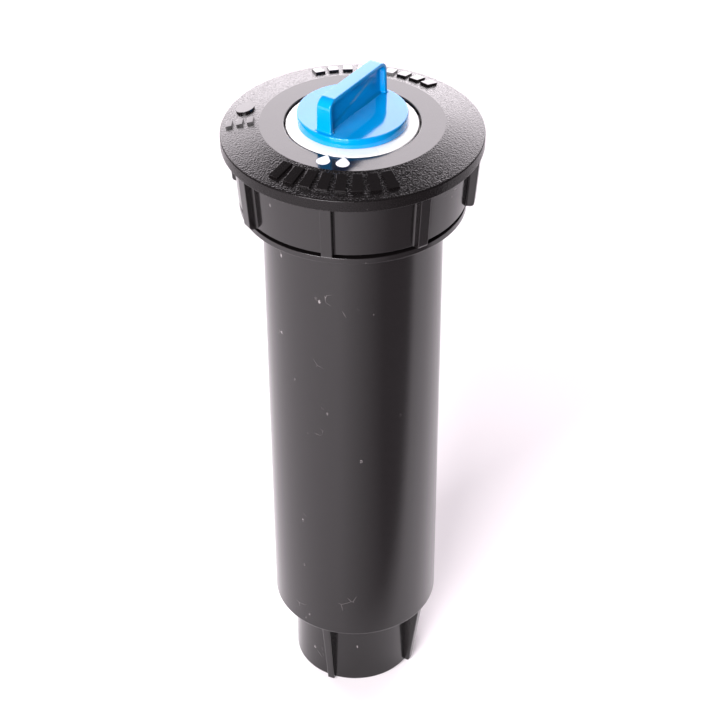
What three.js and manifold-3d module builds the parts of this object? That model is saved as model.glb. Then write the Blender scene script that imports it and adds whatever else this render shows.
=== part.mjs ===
// Pop-up sprinkler with a 100 mm riser, shown with the riser down and standing on its inlet.
// Millimetres, +Z up. The origin is the centre of the inlet's bottom face.

import * as THREE from "three";
import { mergeVertices } from "three/addons/utils/BufferGeometryUtils.js";
import Module from "manifold-3d";

const wasm = await Module();
wasm.setup();

// ---- Driving dimensions ----

const FULL_TURN = 2 * Math.PI;
const GAP = 0.3; // clearance between neighbouring pieces
const EDGE = 0.3; // chamfer on moulded edges
const SINK = 0.5; // how far a joined feature reaches into the wall it stands on
const RUN_OUTS_PER_TURN = 8; // a thread starts and ends over this share of a turn
const FACETS = 40; // flats around a full turn of the case and the cap
const INNER_FACETS = 32; // and of everything inside them

const tube = { outer: 20.0, round: 0.8, bore: 17.8, floor: 22.6 };
const inlet = { radius: 14.95, height: 20.8, depth: 19.6, hole: 6.2 };
const finAngles = [-113, -30, 67, 150]; // two opposite pairs
const fin = { foot: 0.5, footRadius: 16.2, shoulder: 19.0, width: 2.0 };
const pipeThread = { pitch: 1.814, mouth: 10.65, chamfer: 0.8, taper: 1 / 32, turns: 5, start: 1.6 };
const pipeThreadForm = { height: 1.25, base: 1.5, crest: 0.25 };
const collar = { radius: 25.0, bottom: 135.4, top: 136.9 };
const neck = { radius: 21.1, top: 149.5 };
const capThread = { pitch: 3.0, height: 1.1, base: 1.5, crest: 0.7, turns: 2.5, start: 140.5 };
const skirtThreadForm = { crestRadius: 21.6, base: 1.4, crest: 0.6, turns: 2 };
const key = { count: 6, radius: 16.8, width: 1.6, top: 143.0 };
const valveSeat = { inner: 6.4, outer: 7.6, top: 23.4 };

const skirt = { lowOuter: 25.1, highOuter: 26.0, inner: 22.75, bottom: 137.8 };
const flange = { radius: 28.5, bottom: 150.7, top: 153.5, bevel: 0.4 };
const roof = { top: 155.4, underside: 151.2, ring: 20.0, recess: 14.75, recessFloor: 153.4, hole: 10.2 };
const rib = { count: 8, angle: -147, bottom: 137.9, lowRadius: 27.0, highRadius: 28.0 };
const ribForm = { width: 2.4, corner: 0.8 };
const markHeight = 0.55; // how far the cap's raised marks stand out
const markDepth = 1; // and how far they reach into it
const frontPads = { angle: -100, span: 58, count: 8, width: 2.3, inner: 21.2, outer: 26.2 };
const backPads = { angle: 77, span: 62, count: 9, width: 2.2, inner: 22.6, outer: 25.8 };
const drop = { angle: 164, radius: 24.1, round: 2.1, tip: 4.0 };
const dropBar = { angle: 178, length: 1.4, width: 2.4, pitch: 2.3 };

const stem = { outer: 9.3, bore: 7.6, bottom: 28.8, flange: 14.3, flangeBottom: 153.7, top: 155.3 };
const socket = { radius: 8.0, bottom: 146.0 };
const plugThread = {
  pitch: 2.5, turns: 2.2, start: 147.9, stemCrest: 7.4, plugCrest: 7.7, base: 1.0, crest: 0.5,
};
const plug = { shank: 7.1, hollow: 5.4, bottom: 147.3, disc: 11.95, discBottom: 155.6, discTop: 158.05 };
const handle = { angle: 56, length: 21.7, width: 3.5, top: 165.6, round: 2.0, frame: 0.9, pocket: 1.2 };
const screen = { top: 147.0, collar: 7.0, collarBottom: 143.5, radius: 6.2, wall: 0.9 };
const screenTip = { radius: 5.4, bottom: 112, round: 0.5 };
const slot = { rows: 4, perRow: 6, height: 5.2, width: 2.4, pitch: 7.0, lowest: 114.5 };

const seal = { outer: 20.9, bottom: 149.8, top: 150.9 };
const sealLip = { radius: 9.7, bottom: 147.6, foot: 148.2, upper: 150.2, thickness: 0.5 };
const sealThroat = { radius: 10.9, height: 149.7, shoulder: 12.6 };
const supportRing = { outer: 17.4, inner: 13.0, lowInner: 11.2, bottom: 147.6, top: 149.5 };
const springSeat = { outer: 16.6, inner: 10.0, bottom: 145.8, top: 147.3 };
const springSpigot = { radius: 11.7, bottom: 143.6, lead: 0.5 };
const spring = { meanRadius: 13.0, wire: 1.1, coils: 11, endPitch: 1.15, stepsPerCoil: 12 };

const guide = { outer: 17.3, skirtInner: 15.7, bottom: 26.2, plate: 30.9, top: 32.4, bore: 9.7 };
const guideSpigot = { radius: 11.9, top: 34.0 };
const keyway = { radius: 16.4, width: 2.4 };
const ratchet = { outer: 15.3, rimInner: 13.7, bottom: 25.0, plateBottom: 28.0, top: 29.6 };
const ratchetBore = { radius: 9.6, ledge: 7.8, ledgeTop: 28.5 };
const tooth = { count: 12, inner: 11.0, outer: 14.8, width: 1.2, height: 0.5 };
const valveDisc = { radius: 8.6, hole: 1.6, bottom: 23.7, top: 24.9 };
const retainer = { disc: 7.6, bottom: 25.2, discTop: 26.1, pin: 1.3 };
const retainerHead = { radius: 2.4, bottom: 22.6, rim: 23.2, top: 23.4 };
const retainerRing = { inner: 11.8, outer: 13.4, top: 27.7, spokes: 4, spokeWidth: 2.2 };

const look = {
  blackPlastic: { color: 0x2c2a29, roughness: 0.55, metalness: 0 },
  whitePlastic: { color: 0xf2f2ee, roughness: 0.4, metalness: 0 },
  bluePlastic: { color: 0x0f7fd6, roughness: 0.35, metalness: 0 },
  greyPlastic: { color: 0x8f9294, roughness: 0.5, metalness: 0 },
  naturalPlastic: { color: 0xd9d5c8, roughness: 0.5, metalness: 0 },
  rubber: { color: 0x1b1b1c, roughness: 0.85, metalness: 0 },
  steel: { color: 0xb9bcc0, roughness: 0.3, metalness: 1 },
};

// ---- Building blocks ----

function toSolid(geometry) {
  geometry.deleteAttribute("normal");
  geometry.deleteAttribute("uv");
  const merged = mergeVertices(geometry, 1e-4);
  const corners = merged.index.array;
  const faces = [];
  for (let i = 0; i < corners.length; i += 3) {
    const [a, b, c] = corners.slice(i, i + 3);
    // A profile that starts or ends on the axis leaves faces with no area there.
    if (a !== b && b !== c && c !== a) {
      faces.push(a, b, c);
    }
  }
  const vertProperties = new Float32Array(merged.attributes.position.array);
  const triVerts = new Uint32Array(faces);
  return new wasm.Manifold(new wasm.Mesh({ numProp: 3, vertProperties, triVerts }));
}

function toGeometry(solid) {
  const { vertProperties, triVerts } = solid.getMesh();
  const geometry = new THREE.BufferGeometry();
  geometry.setAttribute("position", new THREE.BufferAttribute(vertProperties, 3));
  geometry.setIndex(new THREE.BufferAttribute(triVerts, 1));
  geometry.computeVertexNormals();
  return geometry;
}

// Turns a profile of [radius, height] points about Z. The points go up the outside and down the inside.
function turned(profile, facets = INNER_FACETS) {
  const points = profile.map(([radius, height]) => new THREE.Vector2(radius, height));
  const onAxis = profile[0][0] === 0;
  if (!onAxis) {
    points.push(points[0].clone());
  }
  return toSolid(new THREE.LatheGeometry(points, facets).rotateX(Math.PI / 2));
}

function ring(inner, outer, bottom, top) {
  return turned([[inner, bottom], [outer, bottom], [outer, top], [inner, top]]);
}

// A plate whose outline lies in the X-Z plane, centred on Y = 0 and then turned about Z.
function upright(outline, thickness, degrees) {
  const shape = outline instanceof THREE.Shape ? outline : new THREE.Shape(outline);
  const form = { depth: thickness, bevelEnabled: false, curveSegments: 4 };
  const plate = new THREE.ExtrudeGeometry(shape, form);
  plate.rotateX(Math.PI / 2).translate(0, thickness / 2, 0).rotateZ(THREE.MathUtils.degToRad(degrees));
  return toSolid(plate);
}

// A block between two radii, centred on an angle.
function radialBlock(inner, outer, width, bottom, top, degrees) {
  const block = new THREE.BoxGeometry(outer - inner, width, top - bottom);
  block.translate((inner + outer) / 2, 0, (bottom + top) / 2);
  return toSolid(block.rotateZ(THREE.MathUtils.degToRad(degrees)));
}

function around(count, firstDegrees, makeOne) {
  return Array.from({ length: count }, (_, i) => makeOne(firstDegrees + (360 / count) * i));
}

function joined(solids) {
  return solids.reduce((sum, next) => sum.add(next));
}

function cutBy(solid, tools) {
  return tools.reduce((rest, tool) => rest.subtract(tool), solid);
}

// A helix about Z. A section swept along it stays upright: its x runs along Z and its y points outwards.
class UprightHelix extends THREE.Curve {
  constructor(turns, radiusAt, heightAt) {
    super();
    this.turns = turns;
    this.radiusAt = radiusAt;
    this.heightAt = heightAt;
  }

  getPoint(t, target = new THREE.Vector3()) {
    const angle = FULL_TURN * this.turns * t;
    const radius = this.radiusAt(t);
    return target.set(radius * Math.cos(angle), radius * Math.sin(angle), this.heightAt(t));
  }

  // Steps are equal in angle, not in length.
  getPointAt(t, target) {
    return this.getPoint(t, target);
  }

  computeFrenetFrames(segments) {
    const frames = { tangents: [], normals: [], binormals: [] };
    for (let i = 0; i <= segments; i += 1) {
      const angle = (FULL_TURN * this.turns * i) / segments;
      frames.tangents.push(new THREE.Vector3(-Math.sin(angle), Math.cos(angle), 0));
      frames.normals.push(new THREE.Vector3(0, 0, 1));
      frames.binormals.push(new THREE.Vector3(Math.cos(angle), Math.sin(angle), 0));
    }
    return frames;
  }
}

function swept(section, helix, steps) {
  const shape = new THREE.Shape(section);
  return toSolid(new THREE.ExtrudeGeometry(shape, { steps, bevelEnabled: false, extrudePath: helix }));
}

// A thread ridge on a wall. Its crest stands out from the wall by height, which is negative in a bore,
// and the ridge sinks into the wall at both ends.
function threadRidge({ wall, height, pitch, turns, start, base, crest, taper = 0, stepsPerTurn = 20 }) {
  const root = -Math.sign(height) * SINK;
  const section = [
    new THREE.Vector2(-base / 2, root),
    new THREE.Vector2(base / 2, root),
    new THREE.Vector2(crest / 2, height),
    new THREE.Vector2(-crest / 2, height),
  ];
  const runOut = 1 / (turns * RUN_OUTS_PER_TURN);
  const rise = (t) => start + pitch * turns * t;
  const sunk = (t) => Math.max(0, 1 - t / runOut, 1 - (1 - t) / runOut) * height;
  const radius = (t) => wall - taper * (rise(t) - start) - sunk(t);
  return swept(section, new UprightHelix(turns, radius, rise), Math.round(turns * stepsPerTurn));
}

// ---- Pieces ----

function caseBody() {
  const socketEnd = pipeThread.mouth - pipeThread.taper * inlet.depth;
  const shell = turned([
    [pipeThread.mouth + pipeThread.chamfer, 0],
    [inlet.radius - EDGE, 0],
    [inlet.radius, EDGE],
    [inlet.radius, inlet.height],
    [tube.outer - tube.round, inlet.height],
    [tube.outer - EDGE, inlet.height + EDGE],
    [tube.outer, inlet.height + tube.round],
    [tube.outer, collar.bottom],
    [collar.radius, collar.bottom],
    [collar.radius, collar.top],
    [neck.radius, collar.top],
    [neck.radius, neck.top],
    [tube.bore + EDGE, neck.top],
    [tube.bore, neck.top - EDGE],
    [tube.bore, tube.floor],
    [valveSeat.outer, tube.floor],
    [valveSeat.outer, valveSeat.top],
    [valveSeat.inner, valveSeat.top],
    [inlet.hole, tube.floor],
    [inlet.hole, inlet.depth],
    [socketEnd, inlet.depth],
    [pipeThread.mouth, pipeThread.chamfer],
  ], FACETS);
  return joined([shell, ...inletFins(), ...guideKeys(), inletThread(), neckThread()]);
}

// Gussets between the inlet boss and the shoulder.
function inletFins() {
  const outline = [
    new THREE.Vector2(inlet.radius - SINK, fin.foot),
    new THREE.Vector2(fin.footRadius, fin.foot),
    new THREE.Vector2(fin.shoulder, fin.shoulder),
    new THREE.Vector2(fin.shoulder, inlet.height + SINK),
    new THREE.Vector2(inlet.radius - SINK, inlet.height + SINK),
  ];
  return finAngles.map((degrees) => upright(outline, fin.width, degrees));
}

// Upright ribs inside the tube that stop the riser guide from turning.
function guideKeys() {
  return around(key.count, 0, (degrees) =>
    radialBlock(key.radius, tube.bore + SINK, key.width, tube.floor - SINK, key.top, degrees));
}

function inletThread() {
  return threadRidge({
    wall: pipeThread.mouth - pipeThread.taper * pipeThread.start,
    height: -pipeThreadForm.height,
    pitch: pipeThread.pitch,
    turns: pipeThread.turns,
    start: pipeThread.start,
    base: pipeThreadForm.base,
    crest: pipeThreadForm.crest,
    taper: pipeThread.taper,
    stepsPerTurn: 16,
  });
}

function neckThread() {
  return threadRidge({ wall: neck.radius, ...capThread });
}

function capShell() {
  const shell = turned([
    [skirt.inner + EDGE, skirt.bottom],
    [skirt.lowOuter - EDGE, skirt.bottom],
    [skirt.lowOuter, skirt.bottom + EDGE],
    [skirt.highOuter, flange.bottom],
    [flange.radius - flange.bevel, flange.bottom],
    [flange.radius, flange.bottom + flange.bevel],
    [flange.radius, flange.top - flange.bevel],
    [flange.radius - flange.bevel, flange.top],
    [roof.ring, roof.top],
    [roof.recess + EDGE, roof.top],
    [roof.recess, roof.top - EDGE],
    [roof.recess, roof.recessFloor],
    [roof.hole + EDGE, roof.recessFloor],
    [roof.hole, roof.recessFloor - EDGE],
    [roof.hole, roof.underside],
    [skirt.inner, roof.underside],
    [skirt.inner, skirt.bottom + EDGE],
  ], FACETS);
  const marks = [...gripPads(frontPads), ...gripPads(backPads), ...dropMark()];
  return joined([shell, ...capRibs(), ...marks, skirtThread()]);
}

function capRibs() {
  const inside = skirt.lowOuter - SINK;
  const outline = [
    new THREE.Vector2(inside, rib.bottom),
    new THREE.Vector2(rib.lowRadius - ribForm.corner, rib.bottom),
    new THREE.Vector2(rib.lowRadius, rib.bottom + ribForm.corner),
    new THREE.Vector2(rib.highRadius, flange.bottom + SINK),
    new THREE.Vector2(inside, flange.bottom + SINK),
  ];
  return around(rib.count, rib.angle, (degrees) => upright(outline, ribForm.width, degrees));
}

// The height of the cap's cone at a radius.
function coneHeight(radius) {
  const share = (radius - roof.ring) / (flange.radius - flange.bevel - roof.ring);
  return roof.top + share * (flange.top - roof.top);
}

// A raised plate on the cone. Its outline is drawn about the origin with X pointing away from the middle.
function raisedPlate(shape, radius, degrees) {
  const slope = Math.atan2(roof.top - flange.top, flange.radius - flange.bevel - roof.ring);
  const depth = markDepth + markHeight;
  const plate = new THREE.ExtrudeGeometry(shape, { depth, bevelEnabled: false, curveSegments: 10 });
  plate.translate(0, 0, -markDepth).rotateY(slope).translate(radius, 0, coneHeight(radius));
  return toSolid(plate.rotateZ(THREE.MathUtils.degToRad(degrees)));
}

function rectangle(length, width) {
  const corners = [[-1, -1], [1, -1], [1, 1], [-1, 1]];
  return new THREE.Shape(corners.map(([x, y]) => new THREE.Vector2(x * length / 2, y * width / 2)));
}

// Plain raised pads along an arc of the cone.
function gripPads({ angle, span, count, width, inner, outer }) {
  const pad = rectangle(outer - inner, width);
  return Array.from({ length: count }, (_, i) =>
    raisedPlate(pad, (inner + outer) / 2, angle + span * (i / (count - 1) - 0.5)));
}

// A plain raised water drop, its tip pointing round the cap, and three short bars at its foot.
function dropMark() {
  const shape = new THREE.Shape();
  const half = Math.acos(drop.round / drop.tip);
  const tipAngle = -Math.PI / 2;
  shape.absarc(0, 0, drop.round, tipAngle + half, tipAngle - half + FULL_TURN, false);
  shape.lineTo(0, -drop.tip);
  const bar = rectangle(dropBar.length, dropBar.width);
  const bars = [-1, 0, 1].map((step) =>
    raisedPlate(bar, drop.radius + step * dropBar.pitch, dropBar.angle));
  return [raisedPlate(shape, drop.radius, drop.angle), ...bars];
}

function skirtThread() {
  return threadRidge({
    wall: skirt.inner,
    height: skirtThreadForm.crestRadius - skirt.inner,
    pitch: capThread.pitch,
    turns: skirtThreadForm.turns,
    start: capThread.start + capThread.pitch / 2,
    base: skirtThreadForm.base,
    crest: skirtThreadForm.crest,
  });
}

function wiperSeal() {
  return turned([
    [seal.outer, seal.bottom],
    [seal.outer, seal.top],
    [sealLip.radius, seal.top],
    [sealLip.radius, sealLip.upper],
    [sealThroat.radius, sealThroat.height],
    [sealLip.radius, sealLip.foot],
    [sealLip.radius + sealLip.thickness, sealLip.bottom],
    [sealThroat.shoulder, seal.bottom],
  ]);
}

function sealSupportRing() {
  return turned([
    [supportRing.lowInner, supportRing.bottom],
    [supportRing.outer, supportRing.bottom],
    [supportRing.outer, supportRing.top],
    [supportRing.inner, supportRing.top],
  ]);
}

function springSeatWasher() {
  return turned([
    [springSeat.inner, springSpigot.bottom],
    [springSpigot.radius - springSpigot.lead, springSpigot.bottom],
    [springSpigot.radius, springSpigot.bottom + springSpigot.lead],
    [springSpigot.radius, springSeat.bottom],
    [springSeat.outer, springSeat.bottom],
    [springSeat.outer, springSeat.top],
    [springSeat.inner, springSeat.top],
  ]);
}

// A compression spring with one closed coil at each end.
function retractSpring() {
  const low = guide.top + GAP + spring.wire / 2;
  const high = springSeat.bottom - GAP - spring.wire / 2;
  const openPitch = (high - low - 2 * spring.endPitch) / (spring.coils - 2);
  const height = (t) => {
    const coil = spring.coils * t;
    const openCoils = THREE.MathUtils.clamp(coil - 1, 0, spring.coils - 2);
    return low + openPitch * openCoils + spring.endPitch * (coil - openCoils);
  };
  const section = around(6, 0, (degrees) => {
    const angle = THREE.MathUtils.degToRad(degrees);
    return new THREE.Vector2(Math.cos(angle), Math.sin(angle)).multiplyScalar(spring.wire / 2);
  });
  const helix = new UprightHelix(spring.coils, () => spring.meanRadius, height);
  return swept(section, helix, spring.coils * spring.stepsPerCoil);
}

// Radial teeth between two heights, for the ratchet's two faces.
function ratchetTeeth(bottom, top) {
  return around(tooth.count, 0, (degrees) =>
    radialBlock(tooth.inner, tooth.outer, tooth.width, bottom, top, degrees));
}

function riserGuide() {
  const body = turned([
    [guide.skirtInner, guide.bottom],
    [guide.outer, guide.bottom],
    [guide.outer, guide.top],
    [guideSpigot.radius, guide.top],
    [guideSpigot.radius - EDGE, guideSpigot.top],
    [guide.bore, guideSpigot.top],
    [guide.bore, guide.plate],
    [guide.skirtInner, guide.plate],
  ]);
  const keyways = around(key.count, 0, (degrees) =>
    radialBlock(keyway.radius, guide.outer + 1, keyway.width, guide.bottom - 1, guide.top + 1, degrees));
  const teeth = ratchetTeeth(guide.plate - tooth.height, guide.plate + SINK);
  return cutBy(joined([body, ...teeth]), keyways);
}

function ratchetRing() {
  const body = turned([
    [ratchet.rimInner, ratchet.bottom],
    [ratchet.outer, ratchet.bottom],
    [ratchet.outer, ratchet.top],
    [ratchetBore.radius, ratchet.top],
    [ratchetBore.radius, ratchetBore.ledgeTop],
    [ratchetBore.ledge, ratchetBore.ledgeTop],
    [ratchetBore.ledge, ratchet.plateBottom],
    [ratchet.rimInner, ratchet.plateBottom],
  ]);
  return joined([body, ...ratchetTeeth(ratchet.top - SINK, ratchet.top + tooth.height)]);
}

function checkValveSeal() {
  return turned([
    [valveDisc.hole, valveDisc.bottom],
    [valveDisc.radius - EDGE, valveDisc.bottom],
    [valveDisc.radius, valveDisc.bottom + EDGE],
    [valveDisc.radius, valveDisc.top],
    [valveDisc.hole, valveDisc.top],
  ]);
}

function checkValveRetainer() {
  const post = turned([
    [0, retainerHead.bottom],
    [retainer.pin, retainerHead.bottom],
    [retainerHead.radius, retainerHead.rim],
    [retainerHead.radius, retainerHead.top],
    [retainer.pin, retainerHead.top],
    [retainer.pin, retainer.bottom],
    [retainer.disc, retainer.bottom],
    [retainer.disc, retainer.discTop],
    [0, retainer.discTop],
  ]);
  const rim = ring(retainerRing.inner, retainerRing.outer, retainer.bottom, retainerRing.top);
  const { spokes, spokeWidth } = retainerRing;
  const arms = around(spokes, 45, (degrees) =>
    radialBlock(retainer.disc - SINK, retainerRing.inner + SINK, spokeWidth, retainer.bottom,
      retainer.discTop, degrees));
  return joined([post, rim, ...arms]);
}

function riserStem() {
  const body = turned([
    [stem.bore, stem.bottom],
    [stem.outer, stem.bottom],
    [stem.outer, stem.flangeBottom],
    [stem.flange - EDGE, stem.flangeBottom],
    [stem.flange, stem.flangeBottom + EDGE],
    [stem.flange, stem.top - EDGE],
    [stem.flange - EDGE, stem.top],
    [socket.radius, stem.top],
    [socket.radius, socket.bottom],
    [stem.bore, socket.bottom - EDGE],
  ]);
  const thread = threadRidge({
    wall: socket.radius,
    height: plugThread.stemCrest - socket.radius,
    pitch: plugThread.pitch,
    turns: plugThread.turns,
    start: plugThread.start + plugThread.pitch / 2,
    base: plugThread.base,
    crest: plugThread.crest,
  });
  return body.add(thread);
}

function filterScreen() {
  const basket = turned([
    [0, screenTip.bottom],
    [screenTip.radius - screenTip.round, screenTip.bottom],
    [screenTip.radius, screenTip.bottom + screenTip.round],
    [screen.radius, screen.collarBottom],
    [screen.collar, screen.collarBottom],
    [screen.collar, screen.top],
    [screen.radius - screen.wall, screen.top],
    [screen.radius - screen.wall, screen.collarBottom],
    [screenTip.radius - screen.wall, screenTip.bottom + screen.wall],
    [0, screenTip.bottom + screen.wall],
  ]);
  const slots = [];
  for (let row = 0; row < slot.rows; row += 1) {
    const bottom = slot.lowest + slot.pitch * row;
    slots.push(...around(slot.perRow, 0, (degrees) =>
      radialBlock(3, screen.collar, slot.width, bottom, bottom + slot.height, degrees)));
  }
  return cutBy(basket, slots);
}

function flushPlug() {
  const body = turned([
    [0, plug.discBottom + EDGE],
    [plug.hollow, plug.discBottom],
    [plug.hollow, plug.bottom],
    [plug.shank - EDGE, plug.bottom],
    [plug.shank, plug.bottom + EDGE],
    [plug.shank, plug.discBottom],
    [plug.disc - EDGE, plug.discBottom],
    [plug.disc, plug.discBottom + EDGE],
    [plug.disc, plug.discTop - EDGE],
    [plug.disc - EDGE, plug.discTop],
    [0, plug.discTop],
  ]);
  const thread = threadRidge({
    wall: plug.shank,
    height: plugThread.plugCrest - plug.shank,
    pitch: plugThread.pitch,
    turns: plugThread.turns,
    start: plugThread.start,
    base: plugThread.base,
    crest: plugThread.crest,
  });
  return joined([body, thread, plugHandle()]);
}

// A rectangle in the X-Z plane whose two top corners are round.
function arched(halfLength, bottom, top, round) {
  const shape = new THREE.Shape();
  shape.moveTo(-halfLength, bottom);
  shape.lineTo(halfLength, bottom);
  shape.absarc(halfLength - round, top - round, round, 0, Math.PI / 2, false);
  shape.absarc(-halfLength + round, top - round, round, Math.PI / 2, Math.PI, false);
  return shape;
}

// The handle's outline moved in by an inset, from a height up.
function handleOutline(inset, bottom) {
  return arched(handle.length / 2 - inset, bottom, handle.top - inset, handle.round - inset);
}

// The bar that turns the plug: a rounded frame, open at its foot, round a thinner web that reaches
// half way into the frame. Both sink into the disc.
function plugHandle() {
  const foot = plug.discTop - SINK;
  const bar = upright(handleOutline(0, foot), handle.width, handle.angle);
  const opening = upright(handleOutline(handle.frame, foot - SINK), 2 * handle.width, handle.angle);
  const webWidth = handle.width - 2 * handle.pocket;
  const web = upright(handleOutline(handle.frame / 2, foot), webWidth, handle.angle);
  return bar.subtract(opening).add(web);
}

// ---- Assembly ----

function addPiece(name, solid, finish) {
  const mesh = new THREE.Mesh(toGeometry(solid), new THREE.MeshStandardMaterial(finish));
  mesh.name = name;
  sprinkler.add(mesh);
}

const sprinkler = new THREE.Group();
addPiece("case_body", caseBody(), look.blackPlastic);
addPiece("cap_shell", capShell(), look.blackPlastic);
addPiece("wiper_seal", wiperSeal(), look.rubber);
addPiece("seal_support_ring", sealSupportRing(), look.naturalPlastic);
addPiece("spring_seat", springSeatWasher(), look.naturalPlastic);
addPiece("retract_spring", retractSpring(), look.steel);
addPiece("riser_guide", riserGuide(), look.greyPlastic);
addPiece("riser_stem", riserStem(), look.whitePlastic);
addPiece("ratchet_ring", ratchetRing(), look.greyPlastic);
addPiece("check_valve_retainer", checkValveRetainer(), look.greyPlastic);
addPiece("check_valve_seal", checkValveSeal(), look.rubber);
addPiece("filter_screen", filterScreen(), look.greyPlastic);
addPiece("flush_plug", flushPlug(), look.bluePlastic);

export default sprinkler;
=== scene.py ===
"""Pop-up sprinkler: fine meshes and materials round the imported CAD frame.

Profiles and sizes are in millimetres in the CAD frame (+Z up, the inlet's bottom face at z = 0)
and are scaled to metres when a mesh is made. Heights and radii that a CAD node's box gives are
read from it.
"""

import math

import bmesh
import bpy
from mathutils import Matrix, Vector


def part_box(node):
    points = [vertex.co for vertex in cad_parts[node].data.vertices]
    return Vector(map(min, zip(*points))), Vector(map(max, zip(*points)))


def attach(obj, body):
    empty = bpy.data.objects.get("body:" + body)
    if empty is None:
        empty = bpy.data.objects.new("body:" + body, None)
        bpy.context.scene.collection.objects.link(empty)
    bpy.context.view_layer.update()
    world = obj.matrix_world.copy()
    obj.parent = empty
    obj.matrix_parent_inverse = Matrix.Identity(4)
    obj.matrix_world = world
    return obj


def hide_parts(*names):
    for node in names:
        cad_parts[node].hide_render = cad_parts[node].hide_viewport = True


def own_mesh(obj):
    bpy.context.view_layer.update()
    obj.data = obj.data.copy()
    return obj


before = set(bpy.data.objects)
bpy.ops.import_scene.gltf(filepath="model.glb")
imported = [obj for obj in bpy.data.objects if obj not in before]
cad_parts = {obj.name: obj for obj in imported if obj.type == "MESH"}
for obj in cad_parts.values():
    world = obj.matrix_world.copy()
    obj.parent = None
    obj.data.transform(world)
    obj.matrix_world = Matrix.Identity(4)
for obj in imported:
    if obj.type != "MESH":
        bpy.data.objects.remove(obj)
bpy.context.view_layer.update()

MM = 0.001
TAU = 2 * math.pi
ROUND_STEPS = 192  # facets round a large turned piece
SMALL_STEPS = 128  # and round a small one
ARC_STEPS = 5  # and round a corner
SMOOTH_ANGLE = math.radians(32)  # edges sharper than this stay sharp
THREAD_ROOT = 0.3  # how far a thread's root lies inside its wall, in mm
THREAD_RUN_OUT = 1 / 8  # the share of a turn over which a thread starts and ends
CREST_ROUND = 0.12  # the share of a thread's height that its crest's rounds take


def top_of(node):
    """Height of a CAD node's highest point, in mm."""
    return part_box(node)[1].z / MM


def bottom_of(node):
    """Height of a CAD node's lowest point, in mm."""
    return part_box(node)[0].z / MM


def radius_of(node):
    """Largest radius of a turned CAD node, in mm."""
    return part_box(node)[1].x / MM


# ---- Sizes, in mm ----

TUBE_RADIUS = 20.0
TUBE_BORE = 17.8
TUBE_FLOOR = 22.6
INLET_RADIUS = 14.95
INLET_HEIGHT = 20.8
INLET_DEPTH = 19.6
INLET_HOLE = 6.2
PIPE_MOUTH = 10.65
PIPE_CHAMFER = 0.8
PIPE_PITCH = 1.814
PIPE_TAPER = 1 / 32
PIPE_THREAD = {"height": -1.25, "turns": 5, "start": 1.6, "base": 1.5, "crest": 0.25}
FIN_ANGLES = [-113, -30, 67, 150]
FIN_INNER = INLET_RADIUS - 0.75  # inside the boss
FIN_FOOT = (FIN_INNER, 16.2, 1.75, 0.5)  # radii, width and height
FIN_HEAD = (FIN_INNER, 19.0, 2.1, INLET_HEIGHT + 0.4)
FIN_ROUND = 0.35
COLLAR_RADIUS = radius_of("case_body")
COLLAR_BOTTOM = 135.4
COLLAR_TOP = 136.9
NECK_RADIUS = 21.1
NECK_TOP = top_of("case_body")
NECK_THREAD = {"height": 1.1, "turns": 2.5, "start": 140.5, "base": 1.5, "crest": 0.7}
KEY_ANGLES = [60 * i for i in range(6)]
KEY_INNER = 16.8
KEY_OUTER = TUBE_BORE + 0.6  # inside the tube's wall
KEY_WIDTH = 1.6
KEY_BOTTOM = TUBE_FLOOR - 0.5
KEY_TOP = 143.0
SEAT_INNER = 6.4
SEAT_OUTER = 7.6
SEAT_TOP = 23.4

CAP_PITCH = 3.0
SKIRT_LOW = 25.1  # outer radius of the drafted skirt at its bottom
SKIRT_HIGH = 26.0  # and under the flange
SKIRT_BORE = 22.75
SKIRT_BOTTOM = 137.8
SKIRT_CHAMFER = (0.4, 0.6)  # width and height
CREST_RADIUS = 21.6
CAP_THREAD = {
    "height": CREST_RADIUS - SKIRT_BORE,
    "turns": 2,
    "start": 142.0,
    "base": 1.4,
    "crest": 0.6,
}
FLANGE_RADIUS = radius_of("cap_shell")
FLANGE_BOTTOM = 150.7
FLANGE_TOP = 153.5
ROOF_TOP = 155.4
RING_RADIUS = 20.0
GRAIN_RADIUS = RING_RADIUS + 0.15  # where the cone's grain starts
RECESS_RADIUS = 14.75
RECESS_FLOOR = 153.4
ROOF_HOLE = 10.2
ROOF_UNDERSIDE = 151.2
RIB_ANGLES = [-147 + 45 * i for i in range(8)]
RIB_WIDTH = 2.4
RIB_BOTTOM = 137.9
RIB_TOP = FLANGE_BOTTOM + 0.3  # inside the flange
RIB_LOW = 27.0  # outer radius of a rib at its foot
RIB_HIGH = 28.0  # and under the flange
RIB_ROUND = 0.8
RIB_EDGE = 0.14
RIB_BLEND = 0.55
RIB_SINK = 0.08  # how far a rib's blend starts inside the skirt
CONE_EDGE = 0.4  # how far inside the flange's radius the cone's slope is measured
PAD_HEIGHT = 0.55
PAD_DEPTH = 0.5  # how far a raised mark reaches into the cone
PAD_EDGE = 0.12
FRONT_PADS = {"angle": -100, "span": 58, "count": 8, "width": 2.3, "inner": 21.2, "outer": 26.2}
BACK_PADS = {"angle": 77, "span": 62, "count": 9, "width": 2.2, "inner": 22.6, "outer": 25.8}
DROP = {"angle": 164, "radius": 24.1, "round": 2.1, "tip": 4.0}
DROP_BAR = {"angle": 178, "length": 1.4, "width": 2.4, "pitch": 2.3}
PRINT = {"angles": (-111, -97), "radius": 17.2, "round": 1.45, "tip": 2.75, "lift": 0.02}

STEM_RADIUS = 9.3
STEM_BORE = 7.6
STEM_FLANGE = radius_of("riser_stem")
STEM_BOTTOM = bottom_of("riser_stem")
STEM_TOP = top_of("riser_stem")
STEM_FLANGE_BOTTOM = 153.7
SOCKET_RADIUS = 8.0
SOCKET_BOTTOM = 146.0
PLUG_PITCH = 2.5
STEM_THREAD = {"height": -0.6, "turns": 2.2, "start": 149.15, "base": 1.0, "crest": 0.5}

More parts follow.
